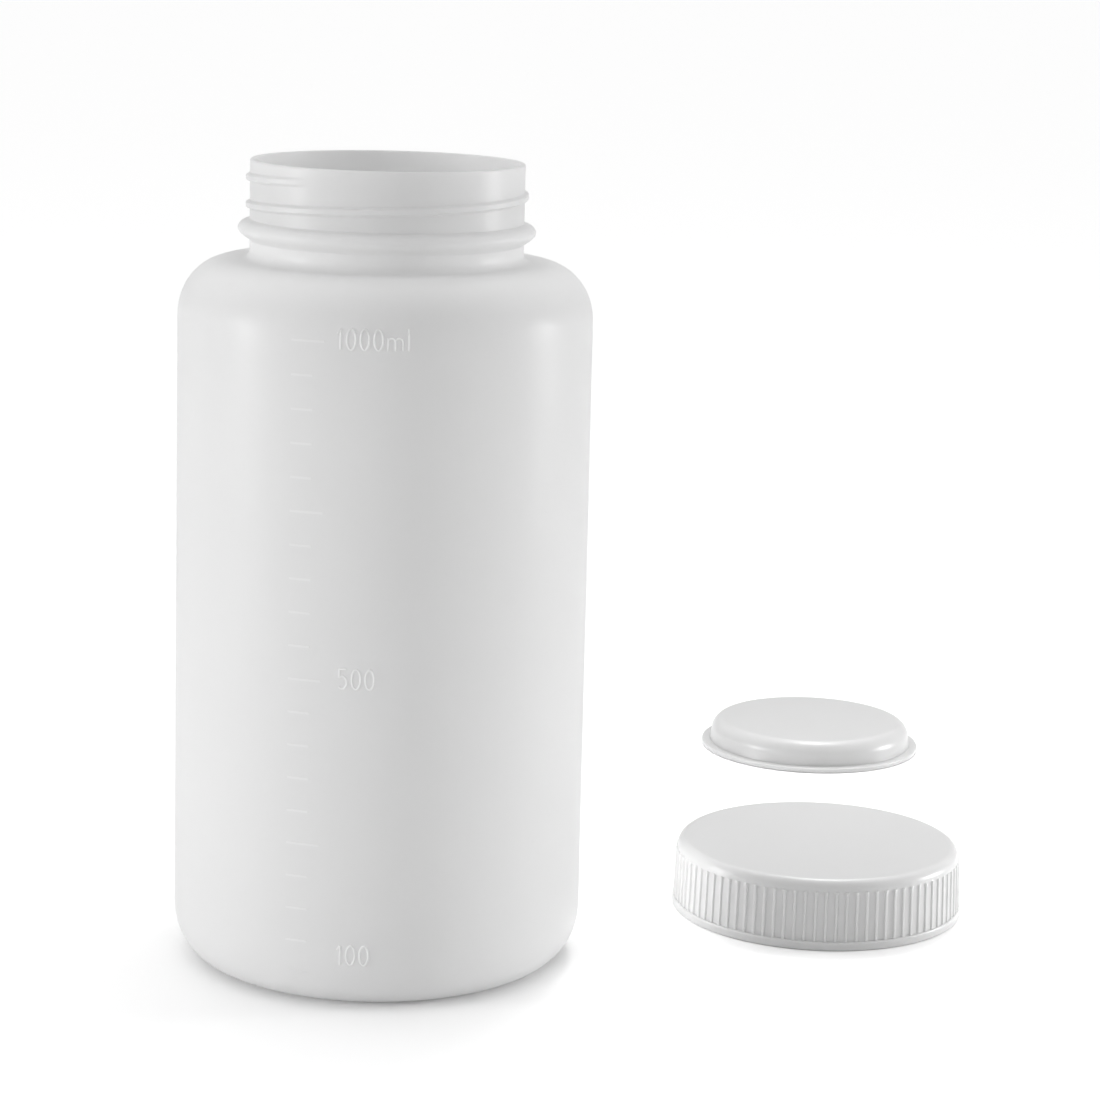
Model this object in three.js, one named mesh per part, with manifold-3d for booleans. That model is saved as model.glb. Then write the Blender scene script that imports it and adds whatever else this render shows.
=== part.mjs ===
// Wide-mouth plastic reagent bottle for 1000 ml, shown open.
// The screw cap and the cup-shaped inner plug stand beside the bottle on the same surface.
// Millimetres, +Z up. The origin is on the bottle's axis, at the plane that it stands on.

import * as THREE from 'three';
import { mergeVertices } from 'three/addons/utils/BufferGeometryUtils.js';
import Module from 'manifold-3d';

const wasm = await Module();
wasm.setup();

const fullTurn = Math.PI * 2;
const quarterTurn = Math.PI / 2;

// Body of the bottle
const bodyRadius = 47.5; // at the top of the base corner
const bodyDraft = 0.45; // radius lost between there and the shoulder
const bodyWall = 1.2;
const sideHeight = 149; // where the straight side ends and the shoulder begins
const shoulderRise = 12.8; // height of the shoulder's curve
const shoulderLand = 2.75; // flat ring between that curve and the foot of the neck
const cornerReach = 9; // how far the corner at the base comes in
const cornerRise = 12; // and how far it climbs
const standWidth = 5.5; // flat ring that the bottle stands on
const pushUpHeight = 1.5; // base panel above that ring
const pushUpRamp = 2;

// Neck of the bottle
const neckRadius = 30.8;
const neckWall = 1.4;
const neckFillet = 2;
const neckLand = 2.2; // straight neck between its fillet and the bead
const rimRound = 0.4;

// Transfer bead under the thread
const beadReach = 2.65;
const beadDrop = 15.4; // from the rim down to the tip of the bead
const beadRise = 1.9; // height of the bead above its tip
const beadFall = 2.5; // and below it

// Screw thread, one start, right-handed
const threadPitch = 6.05;
const threadReach = 0.9;
const threadRootHeight = 2.2;
const threadCrestHeight = 0.9;
const threadTopDrop = 3.15; // from the rim down to the middle of the thread's upper end
const threadBeadGap = 0.7; // from the bead up to the thread's lower end
const threadTopBearing = THREE.MathUtils.degToRad(237);
const threadFade = THREE.MathUtils.degToRad(24);
const threadSink = 0.5; // how deep a ridge is rooted in its wall

// Inner plug
const plugClearance = 0.2; // between the bowl of the plug and the bore of the neck
const plugOverhang = 0.9; // of the flange beyond the neck
const plugFlange = 1.3;
const plugDepth = 6.7; // bowl below the flange
const plugWall = 1.1;
const plugRound = 4; // edge of the bowl
const plugDraft = 0.25;
const plugEdge = 0.3;

// Screw cap
const threadClearance = 0.45; // between the bottle's thread and the cap's bore
const crestClearance = 0.35; // between the cap's thread and the neck
const capWall = 2.8;
const capRoof = 1.8;
const capDraft = 0.4;
const capRound = 2.4;
const capInnerRound = 0.8;
const capBeadGap = 1.5; // from the tip of the bead up to the edge of a closed cap
const capThreadInset = 0.8; // from the cap's edge up to its thread
const lipReach = 0.5;
const lipHeight = 2.2;
const lipEdge = 0.4;
const ribCount = 88;
const ribReach = 0.35;
const ribWidth = 0.6;
const ribRoot = 0.5; // how deep a rib is rooted in the skirt
const ribTopGap = 0.3; // from the end of a rib up to the rounded edge

// Places of the loose pieces on the surface
const capGap = 30.4; // clear surface between the bottle and the cap
const capBearing = THREE.MathUtils.degToRad(16.9);
const plugGap = 86; // clear surface between the cap and the plug
const plugBearing = THREE.MathUtils.degToRad(83.06);

// Fineness of the faceted surfaces
const bottleSides = 64;
const plugSides = 64;
const threadStepsPerTurn = 36;

// Sizes that follow from the ones above
const shoulderTop = sideHeight + shoulderRise;
const beadHeight = shoulderTop + neckFillet + neckLand + beadFall;
const rimHeight = beadHeight + beadDrop;
const boreRadius = neckRadius - neckWall;
const shoulderRadius = bodyRadius - bodyDraft;
const shoulderReach = shoulderRadius - shoulderLand - neckFillet - neckRadius;
const threadTopHeight = rimHeight - threadTopDrop;
const plugRadius = boreRadius - plugClearance;
const flangeRadius = neckRadius + plugOverhang;
const plugHeight = plugFlange + plugDepth;
const capBore = neckRadius + threadReach + threadClearance;
const capRadius = capBore + capWall + lipReach;
const capHeight = beadDrop - capBeadGap + plugFlange + capRoof;
const capClosedHeight = beadHeight + capBeadGap; // of the edge of the cap on a closed bottle

const bottlePlastic = new THREE.MeshStandardMaterial({
  color: 0xe6e8e7,
  roughness: 0.42,
  metalness: 0,
  transparent: true,
  opacity: 0.82,
});
const plugPlastic = new THREE.MeshStandardMaterial({ color: 0xf1f1f0, roughness: 0.38, metalness: 0 });
const capPlastic = new THREE.MeshStandardMaterial({ color: 0xeeeeed, roughness: 0.34, metalness: 0 });

// Points of an elliptical arc in the plane of a profile
function arc(centreR, centreZ, radiusR, radiusZ, from, to, steps) {
  const points = [];
  for (let i = 0; i <= steps; i += 1) {
    const angle = from + ((to - from) * i) / steps;
    points.push([centreR + radiusR * Math.cos(angle), centreZ + radiusZ * Math.sin(angle)]);
  }
  return points;
}

// Turns a profile of [radius, height] points about the Z axis
function spun(profile, sides) {
  const points = profile.map(([r, z]) => new THREE.Vector2(r, z));
  return new THREE.LatheGeometry(points, sides).rotateX(quarterTurn);
}

// A closed geometry as a solid that can be joined
function solidOf(geometry) {
  geometry.deleteAttribute('normal');
  geometry.deleteAttribute('uv');
  const merged = mergeVertices(geometry);
  const corners = merged.index.array;
  const triangles = [];
  for (let i = 0; i < corners.length; i += 3) {
    const [a, b, c] = [corners[i], corners[i + 1], corners[i + 2]];
    if (a !== b && b !== c && c !== a) {
      triangles.push(a, b, c);
    }
  }
  return new wasm.Manifold(new wasm.Mesh({
    numProp: 3,
    vertProperties: new Float32Array(merged.attributes.position.array),
    triVerts: new Uint32Array(triangles),
  }));
}

function meshOf(solid, name, material) {
  const { vertProperties, triVerts } = solid.getMesh();
  const geometry = new THREE.BufferGeometry();
  geometry.setAttribute('position', new THREE.BufferAttribute(vertProperties, 3));
  geometry.setIndex(new THREE.BufferAttribute(triVerts, 1));
  geometry.computeVertexNormals();
  const mesh = new THREE.Mesh(geometry, material);
  mesh.name = name;
  return mesh;
}

// A closed body from rings of points with flat ends; each ring runs clockwise, seen from the next one
function loftOf(rings) {
  const size = rings[0].length;
  const positions = rings.flat(2);
  const index = [];
  for (let i = 0; i < rings.length - 1; i += 1) {
    for (let j = 0; j < size; j += 1) {
      const a = i * size + j;
      const b = i * size + ((j + 1) % size);
      index.push(a, b + size, b, a, a + size, b + size);
    }
  }
  const last = (rings.length - 1) * size;
  for (let j = 1; j < size - 1; j += 1) {
    index.push(0, j, j + 1, last, last + j + 1, last + j);
  }
  const geometry = new THREE.BufferGeometry();
  geometry.setAttribute('position', new THREE.Float32BufferAttribute(positions, 3));
  geometry.setIndex(index);
  return geometry;
}

// A thread ridge that climbs counter-clockwise seen from above and sinks into its wall at both ends.
// It runs from the height that it stays above up to the middle of its upper end.
function threadRidge({ wallRadius, crestRadius, topHeight, bottomHeight }) {
  const outwards = Math.sign(crestRadius - wallRadius);
  const rootRadius = wallRadius - outwards * threadSink;
  const sunkenShare = 0.15;
  const turns = (topHeight - bottomHeight - threadRootHeight / 2) / threadPitch;
  const steps = Math.ceil(turns * threadStepsPerTurn);
  const rings = [];
  for (let i = 0; i <= steps; i += 1) {
    const below = (turns * (steps - i)) / steps; // turns below the upper end
    const bearing = threadTopBearing - below * fullTurn;
    const height = topHeight - below * threadPitch;
    const fromEnd = Math.min(below, turns - below) * fullTurn;
    const share = Math.max(sunkenShare, Math.min(1, fromEnd / threadFade));
    const crest = rootRadius + (crestRadius - rootRadius) * share;
    const section = [
      [rootRadius, height - threadRootHeight / 2],
      [crest, height - threadCrestHeight / 2],
      [crest, height + threadCrestHeight / 2],
      [rootRadius, height + threadRootHeight / 2],
    ];
    const ordered = outwards > 0 ? section : section.reverse();
    rings.push(ordered.map(([r, z]) => [r * Math.cos(bearing), r * Math.sin(bearing), z]));
  }
  return loftOf(rings);
}

// Outside of the bead from its lower root to its upper root
function beadProfile() {
  const lowerShares = [[0, -1], [0.38, -0.76], [0.74, -0.48], [0.93, -0.22]];
  const lower = lowerShares.map(([out, down]) => [neckRadius + beadReach * out, beadHeight + beadFall * down]);
  return [...lower, ...arc(neckRadius, beadHeight, beadReach, beadRise, 0, quarterTurn, 4)];
}

function bottleProfile() {
  const cornerR = bodyRadius - cornerReach;
  const shoulderR = shoulderRadius - shoulderReach;
  const filletR = neckRadius + neckFillet;
  const filletZ = shoulderTop + neckFillet;
  const rampOuter = cornerR - standWidth;
  const rampInner = rampOuter - pushUpRamp;
  const rimEdgeShare = 0.45;
  const rimEdge = Math.min(rimRound, neckWall * rimEdgeShare);
  const rimSide = rimHeight - rimEdge;
  return [
    [0, pushUpHeight],
    [rampInner, pushUpHeight],
    [rampOuter, 0],
    ...arc(cornerR, cornerRise, cornerReach, cornerRise, -quarterTurn, 0, 5),
    ...arc(shoulderR, sideHeight, shoulderReach, shoulderRise, 0, quarterTurn, 6),
    ...arc(filletR, filletZ, neckFillet, neckFillet, -quarterTurn, -2 * quarterTurn, 2),
    ...beadProfile(),
    ...arc(neckRadius - rimEdge, rimSide, rimEdge, rimEdge, 0, quarterTurn, 2),
    ...arc(boreRadius + rimEdge, rimSide, rimEdge, rimEdge, quarterTurn, 2 * quarterTurn, 2),
    ...arc(filletR, filletZ, neckFillet + neckWall, neckFillet + bodyWall, -2 * quarterTurn, -quarterTurn, 2),
    ...arc(shoulderR, sideHeight, shoulderReach - bodyWall, shoulderRise - bodyWall, quarterTurn, 0, 4),
    ...arc(cornerR, cornerRise, cornerReach - bodyWall, cornerRise - bodyWall, 0, -quarterTurn, 4),
    [rampOuter, bodyWall],
    [rampInner, pushUpHeight + bodyWall],
    [0, pushUpHeight + bodyWall],
  ];
}

function makeBottle() {
  const shell = solidOf(spun(bottleProfile(), bottleSides));
  const thread = solidOf(threadRidge({
    wallRadius: neckRadius,
    crestRadius: neckRadius + threadReach,
    topHeight: threadTopHeight,
    bottomHeight: beadHeight + beadRise + threadBeadGap,
  }));
  return meshOf(shell.add(thread), 'bottle', bottlePlastic);
}

// The plug lies with its flange down and the bottom of its bowl up
function makePlug() {
  const outerRound = Math.min(plugRound, plugDepth);
  const innerRound = outerRound - plugWall;
  const edgeR = plugRadius - plugDraft - outerRound;
  const edgeZ = plugHeight - outerRound;
  const profile = [
    [0, plugHeight - plugWall],
    ...arc(edgeR, edgeZ, innerRound, innerRound, quarterTurn, 0, 4),
    [plugRadius - plugWall, 0],
    [flangeRadius - plugEdge, 0],
    [flangeRadius, plugEdge],
    [flangeRadius, plugFlange - plugEdge],
    [flangeRadius - plugEdge, plugFlange],
    [plugRadius, plugFlange],
    ...arc(edgeR, edgeZ, outerRound, outerRound, 0, quarterTurn, 6),
    [0, plugHeight],
  ];
  return meshOf(solidOf(spun(profile, plugSides)), 'inner_plug', plugPlastic);
}

function capProfile() {
  const skirtRadius = capBore + capWall;
  const topRadius = skirtRadius - capDraft;
  const roofZ = capHeight - capRoof;
  return [
    [0, roofZ],
    ...arc(capBore - capInnerRound, roofZ - capInnerRound, capInnerRound, capInnerRound, quarterTurn, 0, 2),
    [capBore, lipEdge],
    [capBore + lipEdge, 0],
    [capRadius - lipEdge, 0],
    [capRadius, lipEdge],
    [capRadius, lipHeight - lipEdge],
    [skirtRadius, lipHeight],
    ...arc(topRadius - capRound, capHeight - capRound, capRound, capRound, 0, quarterTurn, 5),
    [0, capHeight],
  ];
}

// One grip rib: a low ridge that leans with the skirt's draft, from the lip to the rounded top edge
function gripRib(bearing) {
  const skirtRadius = capBore + capWall;
  const skirtTop = capHeight - capRound;
  const low = lipHeight / 2;
  const high = skirtTop - ribTopGap;
  const leanShare = (high - lipHeight) / (skirtTop - lipHeight);
  const ends = [[low, skirtRadius], [high, skirtRadius - capDraft * leanShare]];
  const out = new THREE.Vector3(Math.cos(bearing), Math.sin(bearing), 0);
  const across = new THREE.Vector3(-out.y, out.x, 0);
  const sections = ends.map(([z, wall]) => {
    const corners = [[wall - ribRoot, ribWidth], [wall + ribReach, ribWidth / 2],
      [wall + ribReach, -ribWidth / 2], [wall - ribRoot, -ribWidth]];
    return corners.map(([r, side]) => [out.x * r + across.x * side, out.y * r + across.y * side, z]);
  });
  return loftOf(sections);
}

function makeCap() {
  let cap = solidOf(spun(capProfile(), ribCount));
  const ridge = threadRidge({
    wallRadius: capBore,
    crestRadius: neckRadius + crestClearance,
    topHeight: threadTopHeight - threadRootHeight - capClosedHeight,
    bottomHeight: capThreadInset,
  });
  cap = cap.add(solidOf(ridge));
  for (let i = 0; i < ribCount; i += 1) {
    cap = cap.add(solidOf(gripRib((i * fullTurn) / ribCount)));
  }
  return meshOf(cap, 'screw_cap', capPlastic);
}

// A point on the surface at a distance and bearing from another
function away(from, distance, bearing) {
  return new THREE.Vector3(
    from.x + distance * Math.cos(bearing),
    from.y + distance * Math.sin(bearing),
    0,
  );
}

const reagentBottle = new THREE.Group();
reagentBottle.name = 'reagent_bottle';
const cap = makeCap();
const plug = makePlug();
cap.position.copy(away(new THREE.Vector3(), bodyRadius + capGap + capRadius, capBearing));
plug.position.copy(away(cap.position, capRadius + plugGap + flangeRadius, plugBearing));
reagentBottle.add(makeBottle(), cap, plug);

export default reagentBottle;
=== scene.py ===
# A wide-mouth plastic reagent bottle for 1000 ml, open, with its screw cap and its inner plug beside it.
# Metres, +Z up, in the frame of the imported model.

import math

import bpy
from mathutils import Matrix, Vector


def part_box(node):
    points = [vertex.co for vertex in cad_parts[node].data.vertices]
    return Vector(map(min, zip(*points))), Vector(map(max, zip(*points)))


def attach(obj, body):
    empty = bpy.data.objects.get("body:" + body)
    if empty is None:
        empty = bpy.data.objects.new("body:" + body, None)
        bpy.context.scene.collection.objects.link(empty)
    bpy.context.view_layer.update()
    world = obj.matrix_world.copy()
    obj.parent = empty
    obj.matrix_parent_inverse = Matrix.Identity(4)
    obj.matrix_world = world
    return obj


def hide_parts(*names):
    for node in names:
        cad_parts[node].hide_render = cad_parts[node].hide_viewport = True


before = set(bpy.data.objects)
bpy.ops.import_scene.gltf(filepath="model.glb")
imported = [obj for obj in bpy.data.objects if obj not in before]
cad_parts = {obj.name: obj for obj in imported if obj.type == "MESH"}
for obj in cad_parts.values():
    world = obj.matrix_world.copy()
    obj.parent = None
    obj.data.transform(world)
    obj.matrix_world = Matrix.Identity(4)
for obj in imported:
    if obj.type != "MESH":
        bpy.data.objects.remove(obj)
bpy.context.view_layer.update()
print("frame loaded:", ", ".join(sorted(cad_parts)))

mm = 0.001
quarterTurn = math.pi / 2
fullTurn = 2 * math.pi

# zones of a spun wall, kept on its points for the node trees
plainZone = 0
threadZone = 1
ribZone = 2
seamZone = 3


# Node trees

class Wire:
    # one output of a node; arithmetic on it adds Math nodes
    def __init__(self, graph, socket):
        self.graph = graph
        self.socket = socket

    def also(self, name):
        return Wire(self.graph, self.socket.node.outputs[name])

    def __add__(self, other):
        return self.graph.math("ADD", self, other)

    def __sub__(self, other):
        return self.graph.math("SUBTRACT", self, other)

    def __rsub__(self, other):
        return self.graph.math("SUBTRACT", other, self)

    def __mul__(self, other):
        return self.graph.math("MULTIPLY", self, other)

    def __truediv__(self, other):
        return self.graph.math("DIVIDE", self, other)

    def __rtruediv__(self, other):
        return self.graph.math("DIVIDE", other, self)

    def __abs__(self):
        return self.graph.math("ABSOLUTE", self)

    __radd__ = __add__
    __rmul__ = __mul__


class Graph:
    # fills one node tree
    def __init__(self, tree):
        self.tree = tree

    def add(self, kind, settings=None, sockets=None, output=0):
        node = self.tree.nodes.new(kind)
        for name, value in (settings or {}).items():
            setattr(node, name, value)
        for name, value in (sockets or {}).items():
            socket = node.inputs[name]
            if isinstance(value, Wire):
                self.tree.links.new(value.socket, socket)
            else:
                socket.default_value = value
        return Wire(self, node.outputs[output]) if node.outputs else node

    def math(self, operation, *values):
        return self.add("ShaderNodeMath", {"operation": operation}, dict(enumerate(values)))

    def least(self, one, other):
        return self.math("MINIMUM", one, other)

    def most(self, one, other):
        return self.math("MAXIMUM", one, other)

    def equal(self, one, other):
        return self.math("COMPARE", one, other, 0.5)

    def ramp(self, value, start, end, low=0.0, high=1.0):
        # eases from low at start to high at end
        return self.add("ShaderNodeMapRange", {"interpolation_type": "SMOOTHSTEP"},
                        {0: value, 1: start, 2: end, 3: low, 4: high})

    def noise(self, place, scale, detail=2.0, roughness=0.5):
        return self.add("ShaderNodeTexNoise", {},
                        {"Vector": place, "Scale": scale, "Detail": detail, "Roughness": roughness})

    def stretched(self, place, along):
        return self.add("ShaderNodeVectorMath", {"operation": "MULTIPLY"}, {0: place, 1: along})


def newTree(name, inputs):
    # an empty Geometry Nodes tree with named inputs, and its graph
    tree = bpy.data.node_groups.new(name, "GeometryNodeTree")
    tree.interface.new_socket("Geometry", in_out="INPUT", socket_type="NodeSocketGeometry")
    for label, kind in inputs.items():
        tree.interface.new_socket(label, in_out="INPUT", socket_type="NodeSocket" + kind)
    tree.interface.new_socket("Geometry", in_out="OUTPUT", socket_type="NodeSocketGeometry")
    return Graph(tree)


def finishTree(graph, geometry, material):
    # the last nodes of every tree
    whole = graph.add("GeometryNodeRealizeInstances", {}, {0: geometry})
    painted = graph.add("GeometryNodeSetMaterial", {}, {"Geometry": whole, "Material": material})
    graph.add("NodeGroupOutput", {}, {0: painted})
    return graph.tree


def withTree(piece, tree, values):
    # adds the tree to a piece, with its inputs set by their identifiers
    modifier = piece.modifiers.new(tree.name, "NODES")
    modifier.node_group = tree
    for item in tree.interface.items_tree:
        if item.in_out == "INPUT" and item.name in values:
            modifier[item.identifier] = values[item.name]
    return piece


def baked(piece, name):
    # the evaluated piece as a plain mesh object
    bpy.context.view_layer.update()
    depsgraph = bpy.context.evaluated_depsgraph_get()
    mesh = bpy.data.meshes.new_from_object(piece.evaluated_get(depsgraph))
    bpy.data.objects.remove(piece)
    mesh.name = name
    return newObject(name, mesh)


def newObject(name, mesh):
    piece = bpy.data.objects.new(name, mesh)
    bpy.context.scene.collection.objects.link(piece)
    return piece


def smoothShaded(piece, sharpFrom):
    piece.data.polygons.foreach_set("use_smooth", [True] * len(piece.data.polygons))
    piece.data.set_sharp_from_angle(angle=sharpFrom)
    return piece


# Profiles and turned shapes

def arc(centre, radii, start, end, steps, zone=plainZone):
    points = []
    for i in range(steps + 1):
        angle = start + (end - start) * i / steps
        across = centre[0] + radii[0] * math.cos(angle)
        points.append((across, centre[1] + radii[1] * math.sin(angle), zone))
    return points


def line(start, end, steps, zone=plainZone):
    run, rise = end[0] - start[0], end[1] - start[1]
    return [(start[0] + run * i / steps, start[1] + rise * i / steps, zone) for i in range(steps + 1)]


def between(a, b, c, d, t):
    # the value at the share t of the way from b to c, on a smooth curve from a over b and c to d
    bend = 2 * a - 5 * b + 4 * c - d
    twist = 3 * b - a - 3 * c + d
    return 0.5 * (2 * b + (c - a) * t + bend * t * t + twist * t ** 3)


def curveThrough(points, steps, zone=plainZone):
    # a smooth curve through the points, which leaves and arrives along the first and last stretch
    padded = [points[0], *points, points[-1]]
    curve = [(*points[0], zone)]
    for ends in zip(padded, padded[1:], padded[2:], padded[3:]):
        for i in range(1, steps + 1):
            curve.append((*[between(*values, i / steps) for values in zip(*ends)], zone))
    return curve


def evenBearings(count):
    return [fullTurn * i / count for i in range(count)]


def lathe(name, profile, bearings):
    # turns a profile of (radius, height, zone) about Z; a point on the axis becomes one pole
    vertices, zones, rows, faces = [], [], [], []
    for i, (radius, height, zone) in enumerate(profile):
        if i and math.dist(profile[i - 1][:2], (radius, height)) < 1e-7:
            continue
        onAxis = radius < 1e-7
        start = len(vertices)
        turns = [0.0] if onAxis else bearings
        vertices += [(radius * math.cos(turn), radius * math.sin(turn), height) for turn in turns]
        zones += [zone] * len(turns)
        rows.append([start if onAxis else start + k for k in range(len(bearings))])
    for low, high in zip(rows, rows[1:]):
        for i in range(len(bearings)):
            j = (i + 1) % len(bearings)
            faces.append(list(dict.fromkeys((low[i], low[j], high[j], high[i]))))
    mesh = bpy.data.meshes.new(name)
    mesh.from_pydata(vertices, [], faces)
    mesh.attributes.new("zone", "INT", "POINT").data.foreach_set("value", zones)
    mesh.update()
    return newObject(name, mesh)


# Screw threads, for the outside of the neck and the inside of the cap

def screwThreadTree():
    graph = newTree("screwThread", {
        "Wall Radius": "Float", "Reach": "Float", "Pitch": "Float", "Turns": "Float",
        "Top Height": "Float", "Top Bearing": "Float", "Fade": "Float", "Root Width": "Float",
        "Crest Width": "Float", "Material": "Material",
    })
    given = graph.add("NodeGroupInput")
    place = graph.add("GeometryNodeInputPosition")
    axes = graph.add("ShaderNodeSeparateXYZ", {}, {0: place})
    x, y, z = axes, axes.also("Y"), axes.also("Z")
    zone = graph.add("GeometryNodeInputNamedAttribute", {"data_type": "INT"}, {"Name": "zone"})

    bearing = graph.math("ARCTAN2", y, x)
    turn = graph.math("FRACT", (given.also("Top Bearing") - bearing) / fullTurn)
    depth = (given.also("Top Height") - z) / given.also("Pitch")
    strand = graph.most(graph.math("ROUND", depth - turn), 0.0)
    below = turn + strand  # turns from the upper end down to the nearest stretch of the thread
    aside = abs(depth - below) * given.also("Pitch")
    ridge = graph.ramp(aside, given.also("Root Width") / 2, given.also("Crest Width") / 2)
    fromEnd = graph.least(below, given.also("Turns") - below) * fullTurn
    swell = graph.ramp(fromEnd, 0.0, given.also("Fade"))
    push = given.also("Reach") * ridge * swell * graph.equal(zone, threadZone)
    stretch = 1 + push / given.also("Wall Radius")
    moved = graph.add("ShaderNodeCombineXYZ", {}, {"X": x * stretch, "Y": y * stretch, "Z": z})
    turned = graph.add("GeometryNodeSetPosition", {}, {"Geometry": given, "Position": moved})
    return finishTree(graph, turned, given.also("Material"))


# Grip ribs of the cap

def gripRibTree():
    graph = newTree("gripRibs", {
        "Count": "Float", "Radius": "Float", "Reach": "Float", "Root Width": "Float",
        "Crest Width": "Float", "Top Height": "Float", "Top Fade": "Float", "Material": "Material",
    })
    given = graph.add("NodeGroupInput")
    place = graph.add("GeometryNodeInputPosition")
    axes = graph.add("ShaderNodeSeparateXYZ", {}, {0: place})
    x, y, z = axes, axes.also("Y"), axes.also("Z")
    zone = graph.add("GeometryNodeInputNamedAttribute", {"data_type": "INT"}, {"Name": "zone"})

    turns = graph.math("ARCTAN2", y, x) / fullTurn * given.also("Count")
    ribStep = fullTurn * given.also("Radius") / given.also("Count")
    aside = abs(turns - graph.math("ROUND", turns)) * ribStep
    rib = graph.ramp(aside, given.also("Root Width") / 2, given.also("Crest Width") / 2)
    end = graph.ramp(z, given.also("Top Height"), given.also("Top Height") - given.also("Top Fade"))
    push = given.also("Reach") * rib * end * graph.equal(zone, ribZone)
    stretch = 1 + push / given.also("Radius")
    moved = graph.add("ShaderNodeCombineXYZ", {}, {"X": x * stretch, "Y": y * stretch, "Z": z})
    ribbed = graph.add("GeometryNodeSetPosition", {}, {"Geometry": given, "Position": moved})
    return finishTree(graph, ribbed, given.also("Material"))


# Lines of the volume scale, flat on XZ with their relief towards -Y, before they are wrapped on the body

def scaleLineTree():
    graph = newTree("scaleLines", {
        "Count": "Int", "Step": "Float", "Top Height": "Float", "Left": "Float", "Length": "Float",
        "Long Length": "Float", "Long Every": "Int", "Width": "Float", "Relief": "Float",
        "Material": "Material",
    })
    given = graph.add("NodeGroupInput")
    index = graph.add("GeometryNodeInputIndex")
    start = graph.add("ShaderNodeCombineXYZ", {},
                      {"X": given.also("Left"), "Y": 0.0, "Z": given.also("Top Height")})
    step = graph.add("ShaderNodeCombineXYZ", {}, {"X": 0.0, "Y": 0.0, "Z": 0.0 - given.also("Step")})
    places = graph.add("GeometryNodeMeshLine", {"mode": "OFFSET"},
                       {"Count": given.also("Count"), "Start Location": start, "Offset": step})
    rest = graph.math("MODULO", index, given.also("Long Every"))
    more = given.also("Long Length") - given.also("Length")
    length = given.also("Length") + more * graph.equal(rest, 0.0)
    size = graph.add("ShaderNodeCombineXYZ", {},
                     {"X": length, "Y": given.also("Relief") * 2, "Z": given.also("Width")})
    bar = graph.add("GeometryNodeMeshCube", {}, {"Size": (1.0, 1.0, 1.0), "Vertices X": 9})
    shifted = graph.add("GeometryNodeTransform", {}, {"Geometry": bar, "Translation": (0.5, 0.0, 0.0)})
    bars = graph.add("GeometryNodeInstanceOnPoints", {},
                     {"Points": places, "Instance": shifted, "Scale": size})
    return finishTree(graph, bars, given.also("Material"))


# Finishes

def newMaterial(name):
    material = bpy.data.materials.new(name)
    material.use_nodes = True
    material.node_tree.nodes.clear()
    return material, Graph(material.node_tree)


def closeMaterial(graph, sockets):
    surface = graph.add("ShaderNodeBsdfPrincipled", {}, sockets)
    graph.add("ShaderNodeOutputMaterial", {}, {"Surface": surface})


def greyOf(graph, value):
    return graph.add("ShaderNodeCombineColor", {}, {"Red": value, "Green": value, "Blue": value})


def grainBump(graph, place, look):
    # slow unevenness of the wall under the fine grain of the mould
    wave = graph.noise(place, look["waveScale"], 1.0)
    grain = graph.noise(place, look["grainScale"], 2.0)
    broad = graph.add("ShaderNodeBump", {},
                      {"Strength": 1.0, "Distance": look["waveDepth"], "Height": wave})
    return graph.add("ShaderNodeBump", {}, {"Strength": 1.0, "Distance": look["grainDepth"],
                                            "Height": grain, "Normal": broad})


bottleLook = {
    "shade": 0.835,  # of the milky plastic under the shoulder
    "baseLiftShade": 0.93,  # lighter at the standing ring: partly as the wall is thicker there, partly painted light that lifts the shade near the floor
    "baseFade": 150 * mm,  # height by which that has gone
    "footLiftShade": 0.97,  # painted light about the foot of the neck, lifting the shade in the crease under the bead and standing for light that leaks through from inside
    "footHeights": (154 * mm, 162 * mm, 165 * mm, 170 * mm),  # over which it comes, then goes
    # painted shade: darker up the neck, against the light that reaches the neck through its open mouth
    "neckPaintedShade": 0.755,
    "neckHeights": (163 * mm, 175 * mm),
    "throughShade": 0.84,  # of the light that comes through the wall
    "mottle": 0.02,  # how much the shade varies where the wall is thicker or thinner
    "cloudGloss": 0.04,
    "raisedShade": 0.17,  # lighter on what stands out from the wall: partly for the thicker plastic there, partly a painted highlight on the figures and lines
    "roughness": 0.34,
    "shine": 0.25,
    "translucency": 0.55,  # share of the light that passes a surface
    "waveScale": 45.0,
    "waveDepth": 0.12 * mm,
    "grainScale": 2600.0,
    "grainDepth": 0.006 * mm,
    "dieLineScale": (900.0, 900.0, 4.0),
    "dieLineShade": 0.0067,
    "lineGloss": 0.02,
    "scuffScale": (130.0, 130.0, 2200.0),
    "scuffShares": (0.72, 0.80),  # of the noise from which a scuff begins and is full
    "scuffShade": 0.01,
    "scuffGloss": 0.08,
    "speckScale": 70.0,
    "speckSize": 0.016,  # of the space between specks
    "speckEdge": 0.0256,
    "speckDark": 0.75,
    "speckShare": 0.05,
}


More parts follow.
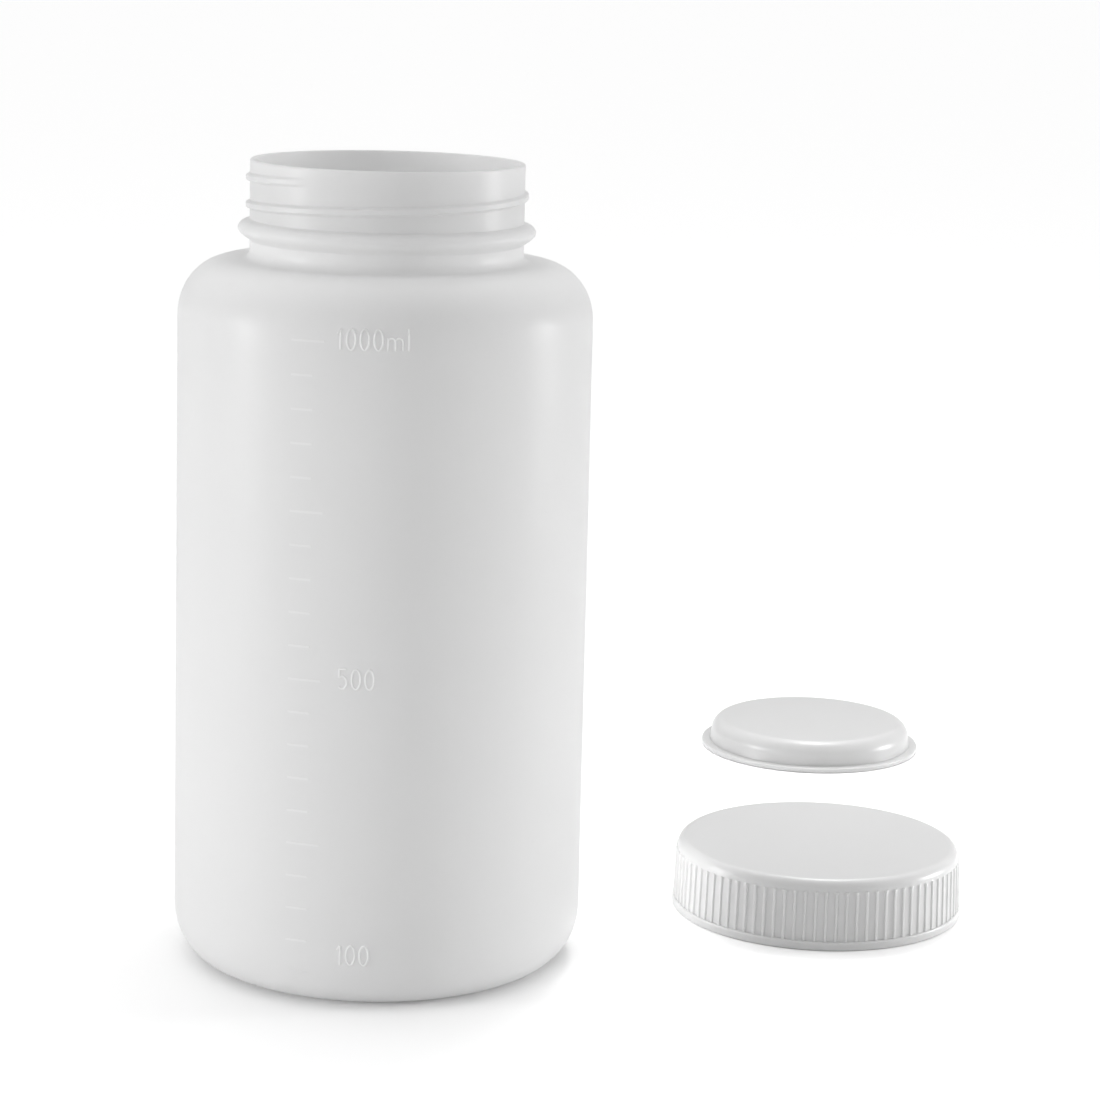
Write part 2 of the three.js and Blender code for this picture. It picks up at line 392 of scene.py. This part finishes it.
def bottlePlastic(look):
    material, graph = newMaterial("milky_plastic")
    place = graph.add("ShaderNodeTexCoord", {}, {}, "Object")
    clouds = graph.noise(place, look["waveScale"], 3.0) - 0.5
    lines = graph.noise(graph.stretched(place, look["dieLineScale"]), 1.0, 1.0) - 0.5
    streaks = graph.noise(graph.stretched(place, look["scuffScale"]), 1.0, 1.0)
    scuffs = graph.ramp(streaks, *look["scuffShares"])
    cells = graph.add("ShaderNodeTexVoronoi", {}, {"Vector": place, "Scale": look["speckScale"]})
    chosen = graph.math("LESS_THAN", graph.add("ShaderNodeSeparateColor", {}, {0: cells.also("Color")}),
                        look["speckShare"])
    speck = graph.ramp(cells, look["speckEdge"], look["speckSize"]) * chosen
    height = graph.add("ShaderNodeSeparateXYZ", {}, {0: place}).also("Z")
    # partly painted light: the wall grows lighter towards the standing ring, lifting the shade near the
    # floor as well as for the thicker wall there
    wall = graph.ramp(height, 0.0, look["baseFade"], look["baseLiftShade"], look["shade"])
    # painted light: lighter about the foot of the neck, to lift the shade in the crease under the bead
    rise = look["footLiftShade"] - look["shade"]
    comes, full, goes, gone = look["footHeights"]
    foot = graph.ramp(height, comes, full, 0.0, rise) - graph.ramp(height, goes, gone, 0.0, rise)
    # painted shade: darker up the neck, against the light that reaches it through the mouth
    neck = graph.ramp(height, *look["neckHeights"], 0.0, look["neckPaintedShade"] - look["shade"])
    body = wall + foot + neck
    # the raised figures and lines are painted lighter: partly for the thicker plastic, partly a painted
    # highlight
    raised = graph.add("ShaderNodeAttribute", {"attribute_name": "raised"}, {}, "Fac")
    uneven = clouds * look["mottle"] + lines * look["dieLineShade"] + scuffs * look["scuffShade"]
    shade = body + uneven + raised * look["raisedShade"]
    colour = greyOf(graph, shade * (1 - speck * look["speckDark"]))
    unevenGloss = clouds * look["cloudGloss"] + lines * look["lineGloss"] + scuffs * look["scuffGloss"]
    gloss = look["roughness"] + unevenGloss
    normal = grainBump(graph, place, look)
    skin = graph.add("ShaderNodeBsdfPrincipled", {}, {
        "Base Color": colour, "Roughness": gloss, "IOR": 1.51, "Specular IOR Level": look["shine"],
        "Normal": normal,
    })
    glow = graph.add("ShaderNodeBsdfTranslucent", {},
                     {"Color": (look["throughShade"],) * 3 + (1.0,), "Normal": normal})
    both = graph.add("ShaderNodeMixShader", {}, {0: look["translucency"], 1: skin, 2: glow})
    graph.add("ShaderNodeOutputMaterial", {}, {"Surface": both})
    return material


plugLook = {
    "shade": 0.5,
    "mottle": 0.006,
    "cloudGloss": 0.03,
    "roughness": 0.33,
    "scatter": 0.6,
    "scatterReach": 1.2 * mm,
    "waveScale": 60.0,
    "waveDepth": 0.05 * mm,
    "grainScale": 2600.0,
    "grainDepth": 0.004 * mm,
}

capLook = {
    "shade": 0.54,
    "mottle": 0.006,
    "cloudGloss": 0.03,
    "roughness": 0.32,
    "scatter": 0.6,
    "scatterReach": 1.5 * mm,
    "waveScale": 60.0,
    "waveDepth": 0.04 * mm,
    "grainScale": 2600.0,
    "grainDepth": 0.003 * mm,
}


def whitePlastic(name, look):
    # opaque white moulding, a little glossier than the bottle
    material, graph = newMaterial(name)
    place = graph.add("ShaderNodeTexCoord", {}, {}, "Object")
    clouds = graph.noise(place, look["waveScale"], 3.0) - 0.5
    colour = greyOf(graph, look["shade"] + clouds * look["mottle"])
    gloss = look["roughness"] + clouds * look["cloudGloss"]
    closeMaterial(graph, {
        "Base Color": colour, "Roughness": gloss, "IOR": 1.49, "Normal": grainBump(graph, place, look),
        "Subsurface Weight": look["scatter"], "Subsurface Radius": (1.0, 1.0, 1.0),
        "Subsurface Scale": look["scatterReach"],
    })
    return material


# Bottle

bottleLow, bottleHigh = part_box("bottle")
figureRelief = 0.22 * mm  # of the raised figures, which the frame's size takes in
bottle = {
    "bodyRadius": -bottleLow.x - figureRelief,
    "rimHeight": bottleHigh.z,
    "bodyDraft": 0.45 * mm,
    "bodyWall": 1.2 * mm,
    "sideHeight": 149 * mm,
    "shoulderRise": 12.8 * mm,
    "shoulderLand": 2.75 * mm,
    "cornerReach": 9 * mm,
    "cornerRise": 12 * mm,
    "standWidth": 5.5 * mm,
    "pushUpHeight": 1.5 * mm,
    "pushUpRamp": 2 * mm,
    "neckRadius": 30.8 * mm,
    "neckWall": 1.4 * mm,
    "neckFillet": 2 * mm,
    "neckLand": 2.2 * mm,
    "rimRound": 0.4 * mm,
    "beadReach": 2.65 * mm,
    "beadRise": 1.9 * mm,
    "beadFall": 2.5 * mm,
    "sides": 288,
}

thread = {
    "pitch": 6.05 * mm,
    "reach": 0.9 * mm,
    "rootWidth": 2.2 * mm,
    "crestWidth": 0.9 * mm,
    "topDrop": 3.15 * mm,  # from the rim down to the middle of the upper end
    "beadGap": 0.7 * mm,
    "topBearing": math.radians(237),
    "fade": math.radians(24),
    "rowHeight": 0.16 * mm,
}

seam = {
    "bearing": math.radians(-9),  # of the plane where the halves of the mould met
    "reach": 0.07 * mm,
    "width": 0.5 * mm,
}

bottle["shoulderTop"] = bottle["sideHeight"] + bottle["shoulderRise"]
bottle["beadHeight"] = (bottle["shoulderTop"] + bottle["neckFillet"] + bottle["neckLand"]
                        + bottle["beadFall"])
bottle["shoulderRadius"] = bottle["bodyRadius"] - bottle["bodyDraft"]
bottle["shoulderCentre"] = bottle["neckRadius"] + bottle["neckFillet"] + bottle["shoulderLand"]
bottle["shoulderReach"] = bottle["shoulderRadius"] - bottle["shoulderCentre"]
bottle["threadTop"] = bottle["rimHeight"] - thread["topDrop"]


def bodyRadiusAt(height):
    # outer radius of the body below the flat ring of the shoulder
    if height < bottle["cornerRise"]:
        down = 1 - height / bottle["cornerRise"]
        return bottle["bodyRadius"] - bottle["cornerReach"] * (1 - math.sqrt(max(0.0, 1 - down ** 2)))
    if height < bottle["sideHeight"]:
        share = (height - bottle["cornerRise"]) / (bottle["sideHeight"] - bottle["cornerRise"])
        return bottle["bodyRadius"] - bottle["bodyDraft"] * share
    up = (height - bottle["sideHeight"]) / bottle["shoulderRise"]
    return bottle["shoulderRadius"] - bottle["shoulderReach"] * (1 - math.sqrt(max(0.0, 1 - up ** 2)))


def bottleProfile():
    b = bottle
    wall, neckWall = b["bodyWall"], b["neckWall"]
    cornerR = b["bodyRadius"] - b["cornerReach"]
    filletR = b["neckRadius"] + b["neckFillet"]
    filletZ = b["shoulderTop"] + b["neckFillet"]
    boreR = b["neckRadius"] - neckWall
    rimZ = b["rimHeight"] - b["rimRound"]
    rampOuter = cornerR - b["standWidth"]
    rampInner = rampOuter - b["pushUpRamp"]
    beadShares = [(0, -1.04), (0.06, -0.97), (0.38, -0.74), (0.74, -0.46), (0.94, -0.2), (1, 0.06),
                  (0.93, 0.4), (0.74, 0.7), (0.42, 0.93), (0.14, 1.04), (0, 1.16)]
    beadTop = b["beadHeight"] + b["beadRise"] * beadShares[-1][1]
    bead = [(b["neckRadius"] + b["beadReach"] * out,
             b["beadHeight"] + b["beadRise" if up > 0 else "beadFall"] * up) for out, up in beadShares]
    threadRows = round((rimZ - beadTop) / thread["rowHeight"])
    return [
        (0.0, b["pushUpHeight"], plainZone),
        *line((rampInner * 0.5, b["pushUpHeight"]), (rampInner, b["pushUpHeight"]), 1),
        *line((rampInner, b["pushUpHeight"]), (rampOuter, 0.0), 4),
        *arc((cornerR, b["cornerRise"]), (b["cornerReach"], b["cornerRise"]),
             -quarterTurn, 0, 18, seamZone),
        *line((b["bodyRadius"], b["cornerRise"]), (b["shoulderRadius"], b["sideHeight"]), 42, seamZone),
        *arc((b["shoulderCentre"], b["sideHeight"]), (b["shoulderReach"], b["shoulderRise"]),
             0, quarterTurn, 22, seamZone),
        *arc((filletR, filletZ), (b["neckFillet"],) * 2, -quarterTurn, -2 * quarterTurn, 8),
        *curveThrough(bead, 3),
        *line((b["neckRadius"], beadTop), (b["neckRadius"], rimZ), threadRows, threadZone),
        *arc((b["neckRadius"] - b["rimRound"], rimZ), (b["rimRound"],) * 2, 0, quarterTurn, 6),
        *arc((boreR + b["rimRound"], rimZ), (b["rimRound"],) * 2, quarterTurn, 2 * quarterTurn, 6),
        *line((boreR, rimZ), (boreR, filletZ), 6),
        *arc((filletR, filletZ), (b["neckFillet"] + neckWall, b["neckFillet"] + wall),
             -2 * quarterTurn, -quarterTurn, 8),
        *arc((b["shoulderCentre"], b["sideHeight"]),
             (b["shoulderReach"] - wall, b["shoulderRise"] - wall), quarterTurn, 0, 16),
        *line((b["shoulderRadius"] - wall, b["sideHeight"]),
              (b["bodyRadius"] - wall, b["cornerRise"]), 20),
        *arc((cornerR, b["cornerRise"]), (b["cornerReach"] - wall, b["cornerRise"] - wall),
             0, -quarterTurn, 12),
        *line((rampOuter, wall), (rampInner, b["pushUpHeight"] + wall), 4),
        (rampInner * 0.5, b["pushUpHeight"] + wall, plainZone),
        (0.0, b["pushUpHeight"] + wall, plainZone),
    ]


def bottleBearings():
    # even sides, with a few more where the seam runs
    offsets = [share * seam["width"] / bottle["bodyRadius"] for share in (-1, -0.5, -0.2, 0.2, 0.5, 1)]
    extra = [(seam["bearing"] + half * math.pi + offset) % fullTurn
             for half in (0, 1) for offset in offsets]
    clear = 1.2 * seam["width"] / bottle["bodyRadius"]
    even = [turn for turn in evenBearings(bottle["sides"])
            if all(abs((turn - other + math.pi) % fullTurn - math.pi) > clear / 2 for other in extra)]
    return sorted(even + extra)


def seamTree():
    # lifts the thin line where the halves of the mould met
    graph = newTree("mouldSeam", {"Bearing": "Float", "Reach": "Float", "Width": "Float",
                                  "Material": "Material"})
    given = graph.add("NodeGroupInput")
    place = graph.add("GeometryNodeInputPosition")
    axes = graph.add("ShaderNodeSeparateXYZ", {}, {0: place})
    x, y, z = axes, axes.also("Y"), axes.also("Z")
    zone = graph.add("GeometryNodeInputNamedAttribute", {"data_type": "INT"}, {"Name": "zone"})
    radius = graph.math("SQRT", x * x + y * y)
    bearing = given.also("Bearing")
    aside = abs(x * graph.math("SINE", bearing) - y * graph.math("COSINE", bearing))
    push = given.also("Reach") * graph.ramp(aside, given.also("Width"), 0.0) * graph.equal(zone, seamZone)
    stretch = 1 + push / radius
    moved = graph.add("ShaderNodeCombineXYZ", {}, {"X": x * stretch, "Y": y * stretch, "Z": z})
    lifted = graph.add("GeometryNodeSetPosition", {}, {"Geometry": given, "Position": moved})
    return finishTree(graph, lifted, given.also("Material"))


relief = {
    "strokeRadius": 0.3 * mm,
    "stepShare": 0.12,  # between the points of a stroke
    "figureHeight": 4.4 * mm,
    "figureWidth": 1.9 * mm,
    "figureGap": 1.05 * mm,
    "lineHeight": 0.12 * mm,
    "lineWidth": 0.5 * mm,
    "lineLength": 5 * mm,
    "lineLongLength": 7.6 * mm,
    "lineLeft": math.radians(-25.2) * bottle["bodyRadius"],
    "lineTop": 149 * mm,
    "lineStep": 7.4 * mm,  # for 50 ml
    "lineCount": 20,
    "longEvery": 5,
}

# what is written, with the left end along the wall from the front and the lower end
figures = {
    "1000ml": (-10.3 * mm, 147.55 * mm),
    "500": (-9.2 * mm, 73.65 * mm),
    "100": (-8.7 * mm, 11.15 * mm),
}


def bow(centre, radii, start, end, steps):
    return [(centre[0] + radii[0] * math.cos(math.radians(start + (end - start) * i / steps)),
             centre[1] + radii[1] * math.sin(math.radians(start + (end - start) * i / steps)))
            for i in range(steps + 1)]


# strokes of each sign in shares of the figures' width and height, and how wide the sign is
strokes = {
    "0": (1.0, [bow((0.5, 0.5), (0.5, 0.5), 90, 450, 28)]),
    "1": (0.5, [[(0.0, 0.76), (0.32, 1.0)], [(0.32, 1.0), (0.32, 0.0)]]),
    "5": (1.0, [[(0.92, 1.0), (0.12, 1.0)], [(0.12, 1.0), (0.06, 0.56)],
                [(0.06, 0.56), *bow((0.45, 0.32), (0.52, 0.32), 118, -140, 16)]]),
    "m": (1.7, [[(0.0, 0.62), (0.0, 0.0)], [*bow((0.425, 0.42), (0.425, 0.18), 150, 0, 8), (0.85, 0.0)],
                [*bow((1.275, 0.42), (0.425, 0.18), 150, 0, 8), (1.7, 0.0)]]),
    "l": (0.2, [[(0.1, 1.05), (0.1, 0.0)]]),
}


def stepped(points):
    # the same stroke with more points on its long stretches, so that it can follow the wall
    fine = [points[0]]
    for start, end in zip(points, points[1:]):
        steps = max(1, round(math.dist(start, end) / relief["stepShare"]))
        fine += [point[:2] for point in line(start, end, steps)[1:]]
    return fine


def wrapped(mesh):
    # bends a flat relief on XZ round the front of the body: X runs along the wall, and -Y away from it
    for vertex in mesh.vertices:
        along, depth, height = vertex.co
        radius = bodyRadiusAt(height) - depth
        bearing = along / bottle["bodyRadius"] - quarterTurn
        vertex.co = (radius * math.cos(bearing), radius * math.sin(bearing), height)
    mesh.update()


def raisedFigures(material):
    # round strokes, sunk in the wall up to their relief
    curve = bpy.data.curves.new("figures", "CURVE")
    curve.dimensions = "3D"
    curve.bevel_depth = relief["strokeRadius"]
    curve.bevel_resolution = 2
    curve.use_fill_caps = True
    for text, (left, low) in figures.items():
        for sign in text:
            width, lines = strokes[sign]
            for points in lines:
                closed = math.dist(points[0], points[-1]) < 1e-6
                points = points[:-1] if closed else stepped(points)
                spline = curve.splines.new("POLY")
                spline.points.add(len(points) - 1)
                spline.use_cyclic_u = closed
                for point, (across, up) in zip(spline.points, points):
                    point.co = (left + across * relief["figureWidth"],
                                relief["strokeRadius"] - figureRelief,
                                low + up * relief["figureHeight"], 1.0)
            left += width * relief["figureWidth"] + relief["figureGap"]
    piece = baked(newObject("figures", curve), "figures")
    piece.data.materials.clear()
    piece.data.materials.append(material)
    return piece


def scaleLines(material):
    holder = newObject("scale_lines", bpy.data.meshes.new("scale_lines"))
    withTree(holder, scaleLineTree(), {
        "Count": relief["lineCount"], "Step": relief["lineStep"], "Top Height": relief["lineTop"],
        "Left": relief["lineLeft"], "Length": relief["lineLength"],
        "Long Length": relief["lineLongLength"], "Long Every": relief["longEvery"],
        "Width": relief["lineWidth"], "Relief": relief["lineHeight"], "Material": material,
    })
    return baked(holder, "scale_lines")


def joined(body, addition, name, crossing):
    # one closed mesh of the body and what is moulded on it; crossing says that parts of one of them meet
    union = body.modifiers.new("union", "BOOLEAN")
    union.operation = "UNION"
    union.solver = "EXACT"
    union.use_self = crossing
    union.object = addition
    whole = baked(body, name)
    bpy.data.objects.remove(addition)
    return whole


def makeBottle(material):
    shell = lathe("bottle_body", bottleProfile(), bottleBearings())
    withTree(shell, screwThreadTree(), {
        "Wall Radius": bottle["neckRadius"], "Reach": thread["reach"], "Pitch": thread["pitch"],
        "Turns": (bottle["threadTop"] - bottle["beadHeight"] - bottle["beadRise"] - thread["beadGap"]
                  - thread["rootWidth"] / 2) / thread["pitch"],
        "Top Height": bottle["threadTop"], "Top Bearing": thread["topBearing"], "Fade": thread["fade"],
        "Root Width": thread["rootWidth"], "Crest Width": thread["crestWidth"], "Material": material,
    })
    withTree(shell, seamTree(), {"Bearing": seam["bearing"], "Reach": seam["reach"],
                                 "Width": seam["width"], "Material": material})
    shell = baked(shell, "bottle_body")
    marks = joined(raisedFigures(material), scaleLines(material), "marks", True)
    wrapped(marks.data)
    whole = joined(shell, marks, "bottle_shell", False)
    raised = []
    for vertex in whole.data.vertices:
        x, y, z = vertex.co
        onWall = bottle["cornerRise"] * 0.8 < z < bottle["sideHeight"] + 2 * mm
        lift = (math.hypot(x, y) - bodyRadiusAt(z)) / figureRelief if onWall else 0.0
        raised.append(min(1.0, max(0.0, lift)))
    whole.data.attributes.new("raised", "FLOAT", "POINT").data.foreach_set("value", raised)
    return smoothShaded(whole, math.radians(34))


# Inner plug

plugLow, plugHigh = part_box("inner_plug")
plug = {
    "centre": (plugLow + plugHigh) / 2,
    "flangeRadius": (plugHigh.x - plugLow.x) / 2,
    "height": plugHigh.z,
    "bowlRadius": 29.2 * mm,
    "flange": 1.3 * mm,
    "wall": 1.1 * mm,
    "round": 4 * mm,
    "draft": 0.25 * mm,
    "edge": 0.3 * mm,
    "sides": 240,
}


def plugProfile():
    p = plug
    inner = p["round"] - p["wall"]
    edge = (p["bowlRadius"] - p["draft"] - p["round"], p["height"] - p["round"])
    rim = p["flangeRadius"] - p["edge"]
    return [
        (0.0, p["height"] - p["wall"], plainZone),
        (edge[0] * 0.5, p["height"] - p["wall"], plainZone),
        *arc(edge, (inner, inner), quarterTurn, 0, 8),
        (p["bowlRadius"] - p["wall"], 0.0, plainZone),
        *arc((rim, p["edge"]), (p["edge"],) * 2, -quarterTurn, 0, 5),
        *arc((rim, p["flange"] - p["edge"]), (p["edge"],) * 2, 0, quarterTurn, 5),
        *arc((p["bowlRadius"] + p["edge"], p["flange"] + p["edge"]), (p["edge"],) * 2,
             -quarterTurn, -2 * quarterTurn, 4),
        *arc(edge, (p["round"],) * 2, 0, quarterTurn, 20),
        (edge[0] * 0.5, p["height"], plainZone),
        (0.0, p["height"], plainZone),
    ]


def makePlug(material):
    piece = lathe("inner_plug_cup", plugProfile(), evenBearings(plug["sides"]))
    piece.data.materials.append(material)
    piece.data.transform(Matrix.Translation((plug["centre"].x, plug["centre"].y, 0)))
    return smoothShaded(piece, math.radians(50))


# Screw cap

capLow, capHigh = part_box("screw_cap")
cap = {
    "centre": (capLow + capHigh) / 2,
    "radius": (capHigh.x - capLow.x) / 2,
    "height": capHigh.z,
    "bore": 32.15 * mm,
    "wall": 2.8 * mm,
    "roof": 1.8 * mm,
    "draft": 0.4 * mm,
    "round": 2.4 * mm,
    "innerRound": 0.8 * mm,
    "lipHeight": 2.2 * mm,
    "lipEdge": 0.4 * mm,
    "closedHeight": 170 * mm,  # of its edge on the closed bottle
    "threadReach": 1.0 * mm,
    "threadInset": 0.8 * mm,
    "ribCount": 88,
    "ribReach": 0.35 * mm,
    "ribRoot": 0.95 * mm,
    "ribCrest": 0.4 * mm,
    "ribTopGap": 0.3 * mm,
    "ribTopFade": 0.2 * mm,
}


def capProfile():
    c = cap
    skirt = c["bore"] + c["wall"]
    top = skirt - c["draft"]
    roofZ = c["height"] - c["roof"]
    skirtTop = c["height"] - c["round"]
    edge = c["lipEdge"]
    ribTop = skirtTop - c["ribTopGap"]
    ribEnd = ribTop - c["ribTopFade"]

    def skirtPoint(height):
        share = (height - c["lipHeight"]) / (skirtTop - c["lipHeight"])
        return (skirt - c["draft"] * share, height)

    return [
        (0.0, roofZ, plainZone),
        (c["bore"] * 0.6, roofZ, plainZone),
        *arc((c["bore"] - c["innerRound"], roofZ - c["innerRound"]), (c["innerRound"],) * 2,
             quarterTurn, 0, 5),
        *line((c["bore"], roofZ - c["innerRound"]), (c["bore"], edge), 48, threadZone),
        *arc((c["bore"] + edge, edge), (edge,) * 2, -2 * quarterTurn, -quarterTurn, 3),
        *arc((c["radius"] - edge, edge), (edge,) * 2, -quarterTurn, 0, 4),
        *arc((c["radius"] - edge, c["lipHeight"] - edge), (edge,) * 2, 0, quarterTurn * 0.8, 4),
        *line(skirtPoint(c["lipHeight"]), skirtPoint(ribEnd), 10, ribZone),
        *line(skirtPoint(ribEnd), skirtPoint(ribTop), 4, ribZone),
        skirtPoint(skirtTop) + (plainZone,),
        *arc((top - c["round"], skirtTop), (c["round"],) * 2, 0, quarterTurn, 16),
        (c["bore"] * 0.6, c["height"], plainZone),
        (0.0, c["height"], plainZone),
    ]


def capBearings():
    # columns at the root, flank and crest of each rib and one between two ribs
    radius = cap["bore"] + cap["wall"]
    root, crest = cap["ribRoot"] / 2, cap["ribCrest"] / 2
    places = [-root, -(root + crest) / 2, -crest, crest, (root + crest) / 2, root]
    step = fullTurn / cap["ribCount"]
    sides = [*(place / radius for place in places), step / 2]
    return [i * step + side for i in range(cap["ribCount"]) for side in sides]


def makeCap(material):
    piece = lathe("screw_cap_body", capProfile(), capBearings())
    threadTop = bottle["threadTop"] - thread["rootWidth"] - cap["closedHeight"]
    withTree(piece, bpy.data.node_groups["screwThread"], {
        "Wall Radius": cap["bore"], "Reach": -cap["threadReach"], "Pitch": thread["pitch"],
        "Turns": (threadTop - cap["threadInset"] - thread["rootWidth"] / 2) / thread["pitch"],
        "Top Height": threadTop, "Top Bearing": thread["topBearing"], "Fade": thread["fade"],
        "Root Width": thread["rootWidth"], "Crest Width": thread["crestWidth"], "Material": material,
    })
    withTree(piece, gripRibTree(), {
        "Count": float(cap["ribCount"]), "Radius": cap["bore"] + cap["wall"], "Reach": cap["ribReach"],
        "Root Width": cap["ribRoot"], "Crest Width": cap["ribCrest"],
        "Top Height": cap["height"] - cap["round"] - cap["ribTopGap"], "Top Fade": cap["ribTopFade"],
        "Material": material,
    })
    piece = baked(piece, "screw_cap_body")
    piece.data.transform(Matrix.Translation((cap["centre"].x, cap["centre"].y, 0)))
    return smoothShaded(piece, math.radians(50))


# Camera, floor and lights

view = {
    "distance": 700 * mm,
    "height": 239.05 * mm,
    "pitchDown": math.radians(11.572),
    "yawRight": math.radians(3.149),
    "roll": math.radians(1.494),
    "focalPixels": 3108.24,
    "imagePixels": 1100,
    "sensor": 36.0,
}


def makeCamera():
    data = bpy.data.cameras.new("camera")
    data.sensor_width = view["sensor"]
    data.lens = view["focalPixels"] / view["imagePixels"] * view["sensor"]
    camera = newObject("camera", data)
    camera.matrix_world = (
        Matrix.Translation((0, -view["distance"], view["height"]))
        @ Matrix.Rotation(-view["yawRight"], 4, "Z")
        @ Matrix.Rotation(quarterTurn - view["pitchDown"], 4, "X")
        @ Matrix.Rotation(view["roll"], 4, "Z")
    )
    bpy.context.scene.camera = camera


stage = {
    "floorRadius": 12.0,
    "floorShade": 0.98,
    "floorDrop": 0.05 * mm,
    "floorSides": 96,
    "skyStrength": 0.48,
    "skyTopStrength": 0.46,  # more of it straight overhead
    "skyTopFrom": 0.2,
    "skyTopTo": 0.9,
    "sunStrength": 0.78,
    "sunAngle": math.radians(70),
}

sceneCentre = Vector((0.05, 0.05, 0.12))
softboxes = {
    "left": {"place": (-1.22, -0.24, 0.17), "aim": sceneCentre,
             "size": (0.25, 0.32), "power": 7.8, "spread": 180},
    "right": {"place": (1.345, 0.163, 0.17), "aim": sceneCentre,
              "size": (0.25, 0.32), "power": 8.2, "spread": 180},
    "lidTop": {"place": (0.16, 0.28, 0.46), "aim": Vector((0.14, 0.11, 0.0)),
               "size": (0.1, 0.2), "power": 0.1, "spread": 50},
    "leftCard": {"place": (0.05, 0.014, 0.018), "aim": Vector((0.09, 0.02, 0.010)),
                 "size": (0.012, 0.024), "power": 0.007, "spread": 180},
    "rightCard": {"place": (0.175, 0.01, 0.018), "aim": Vector((0.13, 0.02, 0.010)),
                  "size": (0.012, 0.024), "power": 0.0028, "spread": 180},
}


def makeFloor():
    radius = stage["floorRadius"]
    ring = [(radius * math.cos(turn), radius * math.sin(turn), -stage["floorDrop"])
            for turn in evenBearings(stage["floorSides"])]
    mesh = bpy.data.meshes.new("floor")
    mesh.from_pydata(ring, [], [list(range(stage["floorSides"]))])
    floor = newObject("floor", mesh)
    material, graph = newMaterial("pale_floor")
    closeMaterial(graph, {"Base Color": (stage["floorShade"],) * 3 + (1.0,), "Roughness": 0.7,
                          "Specular IOR Level": 0.2})
    mesh.materials.append(material)


def aimed(lamp, place, aim):
    lamp.matrix_world = (Matrix.Translation(place)
                         @ (Vector(aim) - Vector(place)).to_track_quat("-Z", "Y").to_matrix().to_4x4())


def makeLights():
    world = bpy.data.worlds.new("studio")
    world.use_nodes = True
    world.node_tree.nodes.clear()
    graph = Graph(world.node_tree)
    place = graph.add("ShaderNodeTexCoord", {}, {}, "Generated")
    up = graph.add("ShaderNodeSeparateXYZ", {}, {0: place}).also("Z")
    glow = graph.ramp(up, stage["skyTopFrom"], stage["skyTopTo"], 0.0, stage["skyTopStrength"])
    sky = graph.add("ShaderNodeBackground", {}, {"Color": (1.0, 1.0, 1.0, 1.0),
                                                 "Strength": glow + stage["skyStrength"]})
    graph.add("ShaderNodeOutputWorld", {}, {"Surface": sky})
    bpy.context.scene.world = world

    data = bpy.data.lights.new("overhead", "SUN")
    data.energy = stage["sunStrength"]
    data.angle = stage["sunAngle"]
    aimed(newObject("overhead", data), (0.0, 0.6, 2.0), (0.0, 0.0, 0.0))

    for name, box in softboxes.items():
        data = bpy.data.lights.new(name + "_softbox", "AREA")
        data.shape = "RECTANGLE"
        data.size, data.size_y = box["size"]
        data.energy = box["power"]
        data.spread = math.radians(box["spread"])
        lamp = newObject(name + "_light", data)
        lamp.visible_camera = False
        aimed(lamp, box["place"], box["aim"])


makeCamera()
makeFloor()
makeLights()
bpy.context.scene.view_settings.view_transform = "Standard"
print("camera, floor and lights set")

bottleShell = makeBottle(bottlePlastic(bottleLook))
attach(bottleShell, "bottle")
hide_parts("bottle")
print("bottle made:", len(bottleShell.data.polygons), "faces")

plugCup = makePlug(whitePlastic("white_plug", plugLook))
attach(plugCup, "inner_plug")
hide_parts("inner_plug")
print("inner plug made:", len(plugCup.data.polygons), "faces")

capBody = makeCap(whitePlastic("white_cap", capLook))
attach(capBody, "screw_cap")
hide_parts("screw_cap")
print("screw cap made:", len(capBody.data.polygons), "faces")
